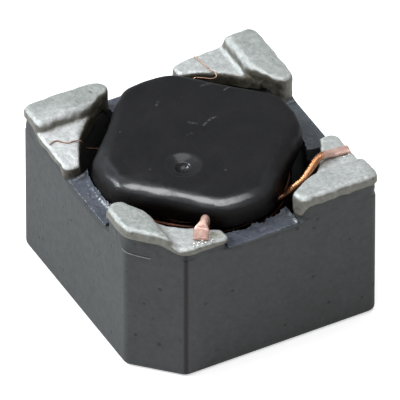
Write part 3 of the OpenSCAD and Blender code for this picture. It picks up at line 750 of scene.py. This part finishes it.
def drum_mesh():
    low = (DRUM_X - DRUM_R - MARGIN, DRUM_Y - DRUM_R - MARGIN, FLOOR - 0.1)
    high = (DRUM_X + DRUM_R + MARGIN, DRUM_Y + DRUM_R + MARGIN, DRUM_TOP + MARGIN)
    return solid_from_field("drum", drum_field, low, high, GRID, merge=0.002)


def coat_mesh(n):
    """The metal coat of one post: a thin lumpy skin with a wavy lower edge."""
    def field(x, y, z):
        post = post_field(n, x, y, z)
        high_side = smooth_step(x, 2.0, 2.45) * smooth_step(y, 1.0, 1.2)
        on_ridge = smooth_step(x, RIDGE_TOP_X - 0.2, RIDGE_TOP_X + 0.1)
        at_end = smooth_step(y, RIDGE_END + 0.3, RIDGE_END + 0.05) * on_ridge
        at_bore = smooth_step(np.hypot(x, y), BORE_R + 0.12, BORE_R - 0.02)
        ledge_end = smooth_step(x, LEDGE_END + 0.3, LEDGE_END + 0.08)
        drop = (0.02, 0.06, 0.2, 0.3)[n - 1] * np.maximum(np.maximum(at_end, 0.7 * ledge_end), 0.8 * at_bore)
        edge = LEDGE_TOP - 0.17 + 0.2 * high_side - drop + 0.025 * lumps(x, y, 0 * z, 0.35, 20 + n)
        skin = np.maximum(post, -(post + 0.06))
        skin = smooth_max(skin, edge - z, 0.03)
        flat = np.maximum(np.maximum(x, y) - COAT_HALF, z - TOP)
        return np.maximum(skin, flat)
    low = (LEDGE_END - 0.06, RIDGE_END - 0.12, LEDGE_TOP - 0.54)
    high = (COAT_HALF + 0.04, COAT_HALF + 0.04, TOP + 0.04)
    return solid_from_field(f"coat_{n}", field, low, high, 0.018, corner_turn(n))


def glue_mesh(n, seed, inner, climb, ragged):
    """Film of adhesive at the middle of one side: over the rim, and across the gap to the flange."""
    turn = 90 * n - 180
    dx, dy = rotated(DRUM_X, DRUM_Y, -turn)

    def field(x, y, z):
        r = np.hypot(x, y)
        from_drum = np.hypot(x - dx, y - dy)
        swell = lumps(x, y, 0 * z, 0.35, seed)
        fine = lumps(x, y, 0 * z, 0.12, seed + 1)
        left_end, right_end = -LEDGE_END - COAT, RIDGE_END + COAT
        foot = 0.14
        rise = np.zeros_like(x)
        for gap in (y - left_end, right_end - y):
            t = np.clip(foot - gap, 0, foot)
            rise = np.maximum(rise, foot - np.sqrt(foot * foot - t * t))
        top = RIM + 0.02 + rise + 0.008 * swell + 0.004 * fine
        top = top + climb * np.exp(-np.clip(from_drum - DRUM_R, 0, 1) / 0.07)
        bottom = np.where(r < BORE_R - 0.01, RIM - 0.25, RIM - 0.02)
        d = smooth_max(z - top, x - (HALF - 0.035 - 0.018 * np.abs(swell)), 0.03)
        d = np.maximum(d, bottom - z)
        start = DRUM_R + inner + ragged * (0.6 * swell + 0.6 * fine)
        d = smooth_max(d, start - from_drum, 0.03)
        d = np.maximum(d, np.maximum(left_end + 0.02 - y, y - right_end + 0.02))
        return d
    low = (2.3, -1.05, RIM - 0.3)
    high = (HALF, 1.05, RIM + 0.35)
    return solid_from_field(f"glue_film_{n}", field, low, high, 0.015, turn)


BEAD_HEIGHT = 0.9                           # of a bead against its width


def bead_mesh(n, beads):
    """Small solder beads on a ledge, at places given in the frame of the (+x, +y) corner."""
    def field(x, y, z):
        d = np.full(x.shape, 1.0, np.float32)
        for bx, by, r in beads:
            ball = np.sqrt((x - bx) ** 2 + (y - by) ** 2 + ((z - LEDGE_TOP + 0.01) / BEAD_HEIGHT) ** 2) - r
            d = smooth_min(d, ball, 0.02)
        d = d + 0.006 * lumps(x, y, z, 0.12, 40 + n)
        return np.maximum(np.maximum(d, LEDGE_TOP - 0.02 - z), y - COAT_HALF + 0.03)
    xs, ys = [b[0] for b in beads], [b[1] for b in beads]
    low = (min(xs) - 0.15, min(ys) - 0.15, LEDGE_TOP - 0.05)
    high = (max(xs) + 0.15, COAT_HALF, LEDGE_TOP + 0.16)
    return solid_from_field(f"beads_{n}", field, low, high, 0.01, corner_turn(n))


def unit(v):
    return v / np.linalg.norm(v)


def at_corner(n, points):
    """Places set out at the (+x, +y) corner, turned to corner n."""
    return list(turned(np.array(points, float), corner_turn(n)))


def by_drum(angle, r, z):
    a = math.radians(angle)
    return np.array((DRUM_X + r * math.cos(a), DRUM_Y + r * math.sin(a), z))


def by_flat(n, distance, along, z):
    """Place beside the drum's flat at corner n."""
    place = np.array([((distance - along) / math.sqrt(2), (distance + along) / math.sqrt(2), z)])
    return turned(place, corner_turn(n))[0] + np.array((DRUM_X, DRUM_Y, 0))


def by_bore(n, angle, gap, z):
    """Place at the given gap inside the bore, at an angle from the +x side of the (+x, +y) corner, turned to
    corner n."""
    a, r = math.radians(angle), BORE_R - gap
    return turned(np.array([(r * math.cos(a), r * math.sin(a), z)]), corner_turn(n))[0]


def smooth_route(knots, steps):
    """Smooth curve through the knots."""
    k = [np.asarray(p, float) for p in knots]
    out = []
    for i in range(len(k) - 1):
        p0, p1, p2, p3 = k[max(i - 1, 0)], k[i], k[i + 1], k[min(i + 2, len(k) - 1)]
        for j in range(steps):
            t = j / steps
            out.append(0.5 * (2 * p1 + (p2 - p0) * t + (2 * p0 - 5 * p1 + 4 * p2 - p3) * t ** 2
                              + (3 * p1 - p0 - 3 * p2 + p3) * t ** 3))
    return out + [k[-1]]


def sweep_mesh(name, route, widths, heights, sides):
    """Closed wire along a route, of changing width and height, with its flat side kept upwards."""
    last = len(route) - 1
    ways = [unit(route[min(i + 1, last)] - route[max(i - 1, 0)]) for i in range(last + 1)]
    up = unit(np.array((0, 0, 1.0)) - ways[0][2] * ways[0])
    ups = []
    for way in ways:
        up = unit(up - (up @ way) * way)
        ups.append(up)
    level = unit(np.array((0, 0, 1.0)) - ways[last][2] * ways[last])
    twist = math.atan2(np.cross(ups[last], level) @ ways[last], ups[last] @ level)
    points, faces = [], []
    for i, (place, way, up) in enumerate(zip(route, ways, ups)):
        a = twist * i / last
        up = up * math.cos(a) + np.cross(way, up) * math.sin(a)
        side = np.cross(up, way)
        power = 1 - 0.5 * (1 - heights[i] / widths[i])
        for j in range(sides):
            b = 2 * math.pi * (j + 0.5) / sides
            c, d = math.cos(b), math.sin(b)
            points.append(place + side * math.copysign(abs(c) ** power, c) * widths[i] / 2
                          + up * math.copysign(abs(d) ** power, d) * heights[i] / 2)
    for i in range(last):
        for j in range(sides):
            k = (j + 1) % sides
            faces.append((i * sides + j, (i + 1) * sides + j, (i + 1) * sides + k, i * sides + k))
    faces.append(tuple(range(sides)))
    faces.append(tuple(last * sides + j for j in reversed(range(sides))))
    mesh = bpy.data.meshes.new(name)
    mesh.from_pydata((np.array(points) * MM).tolist(), [], faces)
    mesh.shade_smooth()
    return mesh


def on_helix(angle):
    """Place on the thick wire's helix, at an angle from the start of its first turn."""
    low, high = WINDOW_LOW + 0.75 * WIRE, WINDOW_HIGH - 0.09 - WIRE / 2
    return by_drum(angle - 90, FLAT_DIST - WIRE / 2, low + (high - low) * angle / HELIX)


def thick_wire_mesh():
    """One wire in a helix, whose two leads climb out beside the flange and flatten on their ledges."""
    strip_at = RIDGE_FOOT_X + COAT - 0.535
    pad, over_pad = LEDGE_TOP + 0.048, LEDGE_TOP + WIRE / 2 + 0.02
    low, under = WINDOW_LOW + 0.75 * WIRE, WINDOW_HIGH - WIRE / 2 - 0.02
    start = at_corner(1, [
        (strip_at - 0.11, HALF - 0.145, pad),
        (strip_at - 0.21, HALF - 0.305, pad),
        (strip_at - 0.28, HALF - 0.415, pad + 0.01),
    ]) + [
        by_flat(1, FLAT_DIST + 0.466, 0.919, over_pad),
        by_flat(1, FLAT_DIST + 0.275, 0.912, over_pad + 0.02),
        by_flat(1, FLAT_DIST + 0.175, 0.909, over_pad - 0.08),
        by_flat(1, FLAT_DIST + 0.145, 0.909, over_pad - 0.26),
        by_flat(1, FLAT_DIST + 0.145, 0.909, over_pad - 0.66),
        by_flat(1, FLAT_DIST + 0.145, 0.909, low + 1.2),
        by_flat(1, FLAT_DIST + 0.145, 0.909, low + 0.6),
        by_flat(1, FLAT_DIST + 0.127, 0.905, low + 0.3),
        by_drum(-107, FLAT_DIST + 0.15, low + 0.09),
        on_helix(0),
        on_helix(8),
    ]
    end = [
        on_helix(HELIX - 8),
        on_helix(HELIX),
        by_drum(-67, FLAT_DIST - 0.07, under - 0.05),
        by_drum(-58, FLAT_DIST + 0.07, under),
        by_drum(-54, FLAT_DIST + 0.23, LEDGE_TOP - 0.3),
        by_drum(-49.5, FLAT_DIST + 0.4, LEDGE_TOP - 0.15),
        by_drum(-44.5, BORE_R - 0.11, LEDGE_TOP - 0.02),
        by_drum(-38.8, BORE_R - 0.005, over_pad),
    ] + at_corner(2, [
        (strip_at + 0.03, BORE_R - 0.44, over_pad + 0.02),
        (strip_at - 0.01, HALF - 0.425, pad + 0.012),
        (strip_at, HALF - 0.165, pad),
        (strip_at + 0.02, HALF - 0.03, pad - 0.012),
    ])
    steps = 10
    first, final = smooth_route(start, steps), smooth_route(end, steps)
    middle = [on_helix(a) for a in range(13, int(HELIX) - 8, 5)]
    route = first + middle + final
    total = len(route) - 1
    widths, heights = [], []
    for i in range(total + 1):
        flat = max((3.6 * steps - i) / (1.6 * steps), (i - (total - 3.2 * steps)) / (1.3 * steps), 0)
        flat = min(flat, 1) ** 2 * (3 - 2 * min(flat, 1))
        widths.append(WIRE + (0.17 if i < total / 2 else 0.07) * flat)
        heights.append(WIRE - 0.09 * flat)
    return sweep_mesh("thick_wire", route, widths, heights, 16)


def hair_mesh(name, knots):
    route = smooth_route(knots, 8)
    return sweep_mesh(name, route, [HAIR] * len(route), [HAIR] * len(route), 10)


def coil_mesh():
    """The fine wire's many turns, as a ribbed ring round the hub."""
    outer, inner = FLAT_DIST - WIRE - 0.03, HUB_R + 0.02
    low, high = WINDOW_LOW + 0.02, WINDOW_HIGH - 0.02
    pitch = 0.05
    count = int((high - low - 0.1) / pitch)
    profile = [(inner, low)]
    for i in range(count * 4 + 1):
        z = low + 0.05 + i * pitch / 4
        profile.append((outer - 0.02 + 0.02 * abs(math.sin(math.pi * i / 4)), z))
    profile.append((inner, high))
    around = 96
    points, faces = [], []
    for i in range(around):
        a = 2 * math.pi * i / around
        points += [(DRUM_X + r * math.cos(a), DRUM_Y + r * math.sin(a), z) for r, z in profile]
    size = len(profile)
    for i in range(around):
        for j in range(size):
            k, m = (i + 1) % around, (j + 1) % size
            faces.append((i * size + j, k * size + j, k * size + m, i * size + m))
    mesh = bpy.data.meshes.new("fine_coil")
    mesh.from_pydata((np.array(points) * MM).tolist(), [], faces)
    mesh.shade_smooth()
    return mesh


def make_fibre(material):
    """Thin stray fibre that clings to the bevelled face."""
    def on_face(along, height, off=0.012):
        """Point on the bevelled face, at a distance along it from its left edge."""
        start = Vector((-HALF, -HALF + BEVEL, 0))
        way = Vector((1, -1, 0)).normalized()
        out = Vector((-1, -1, 0)).normalized()
        return (start + along * way + out * off + Vector((0, 0, height))) * MM
    curve = bpy.data.curves.new("fibre", "CURVE")
    curve.dimensions = "3D"
    curve.bevel_depth = 0.011 * MM
    curve.bevel_resolution = 3
    curve.resolution_u = 6
    left = Vector((-HALF - 0.012, -HALF + BEVEL + 0.1, 3.39)) * MM
    places = [left, on_face(0.0, 3.36), on_face(0.16, 3.335), on_face(0.4, 3.31), on_face(0.62, 3.31)]
    spline = curve.splines.new("NURBS")
    spline.points.add(len(places) - 1)
    for point, place in zip(spline.points, places):
        point.co = (*place, 1)
    spline.use_endpoint_u = True
    spline.order_u = 4
    holder = bpy.data.objects.new("fibre_curve", curve)
    mesh = bpy.data.meshes.new_from_object(holder)
    mesh.name = "fibre"
    mesh.shade_smooth()
    bpy.data.objects.remove(holder)
    show("fibre", mesh, material)


def hair_leads():
    """Routes of the fine wire's two leads, out of the bore and onto ledges 3 and 4."""
    turn, under, on_pad = FLAT_DIST - WIRE / 2, WINDOW_HIGH - HAIR - 0.01, LEDGE_TOP + HAIR / 2
    hair_at = RIDGE_FOOT_X + COAT - 0.645
    lead_3 = [
        by_drum(64, turn - 0.25, under),
        by_drum(64, turn, under),
        by_drum(64, FLAT_DIST + 0.2, under),
        by_bore(3, 66.8, 0.16, RIM + 0.18),
        by_bore(3, 64.8, 0.165, RIM + 0.34),
        by_bore(3, 60.6, 0.2, LEDGE_TOP - 0.03),
        by_bore(3, 55.7, 0.23, LEDGE_TOP - 0.02),
        by_bore(3, 53.4, 0.185, LEDGE_TOP + 0.01),
        by_bore(3, 54.3, 0.09, LEDGE_TOP + 0.05),
    ] + at_corner(3, [
        (hair_at + 0.02, BORE_R - 0.45, on_pad + 0.005),
        (hair_at - 0.03, HALF - 0.315, on_pad),
        (hair_at - 0.07, HALF - 0.035, on_pad),
    ])
    lead_4 = [
        by_drum(138, turn - 0.25, under),
        by_drum(138.5, turn, under),
        by_drum(139, FLAT_DIST + 0.1, under),
        by_bore(4, 54.1, 0.16, RIM + 0.16),
        by_bore(4, 55.5, 0.105, RIM + 0.34),
        by_bore(4, 56.2, 0.032, LEDGE_TOP + 0.03),
    ] + at_corner(4, [
        (hair_at + 0.08, BORE_R - 0.37, on_pad),
        (hair_at + 0.08, HALF - 0.455, on_pad),
        (hair_at + 0.16, HALF - 0.345, on_pad),
        (hair_at + 0.28, HALF - 0.235, on_pad),
        (hair_at + 0.24, HALF - 0.045, on_pad),
    ])
    return lead_3, lead_4


def make_body():
    body = show("body", body_mesh(), shield_ferrite(), "shield")
    drum = show("drum", drum_mesh(), drum_ferrite(), "drum_core")


def make_wires():
    thick = show("thick_wire", thick_wire_mesh(), thick_copper(), "thick_winding")
    fine = copper_wire("fine_wire", (0.56, 0.34, 0.25), (0.32, 0.17, 0.11))
    lead_3, lead_4 = hair_leads()
    pieces = {
        "fine_coil": coil_mesh(), "hair_3": hair_mesh("hair_3", lead_3), "hair_4": hair_mesh("hair_4", lead_4)
    }
    for name, mesh in pieces.items():
        show(name, mesh, fine, "fine_winding")


def make_terminals():
    silver = silver_coat()
    for n in range(1, 5):
        piece = show(f"coat_{n}", coat_mesh(n), silver, f"terminal_{n}")


# Solder beads on ledges 1 and 2: place in the frame of the (+x, +y) corner, and radius.
BEADS = (
    (
        (1.26, 2.78, 0.04), (1.34, 2.84, 0.045), (1.4, 2.92, 0.035), (1.46, 2.84, 0.04), (1.5, 2.93, 0.04),
        (1.56, 2.86, 0.045), (1.62, 2.93, 0.035), (1.66, 2.84, 0.04), (1.72, 2.9, 0.03), (1.3, 2.94, 0.035),
        (1.22, 2.9, 0.03), (1.2, 2.68, 0.03),
    ),
    ((1.47, 2.62, 0.04), (1.45, 2.74, 0.045), (1.46, 2.86, 0.04), (1.75, 2.88, 0.04), (1.78, 2.74, 0.03)),
)


def make_solder():
    tin = solder_tin()
    for n, beads in enumerate(BEADS, 1):
        piece = show(f"beads_{n}", bead_mesh(n, beads), tin, f"solder_{n}")


# Glue films: number, gap to the drum, climb up the flange, and raggedness of the inner edge.
FILMS = ((1, 0.05, 0.02, 0.08), (2, 0.02, 0.08, 0.04), (3, 0.03, 0.05, 0.03), (4, 0.01, 0.16, 0.02))


def make_adhesive():
    film = adhesive()
    for n, inner, climb, ragged in FILMS:
        piece = show(f"glue_film_{n}", glue_mesh(n, 60 + 3 * n, inner, climb, ragged), film, f"adhesive_{n}")


make_camera()
make_lights()
make_world()
make_floor()
bpy.context.scene.view_settings.view_transform = "Standard"
make_body()
make_wires()
make_terminals()
make_solder()
make_adhesive()
make_fibre(thread())
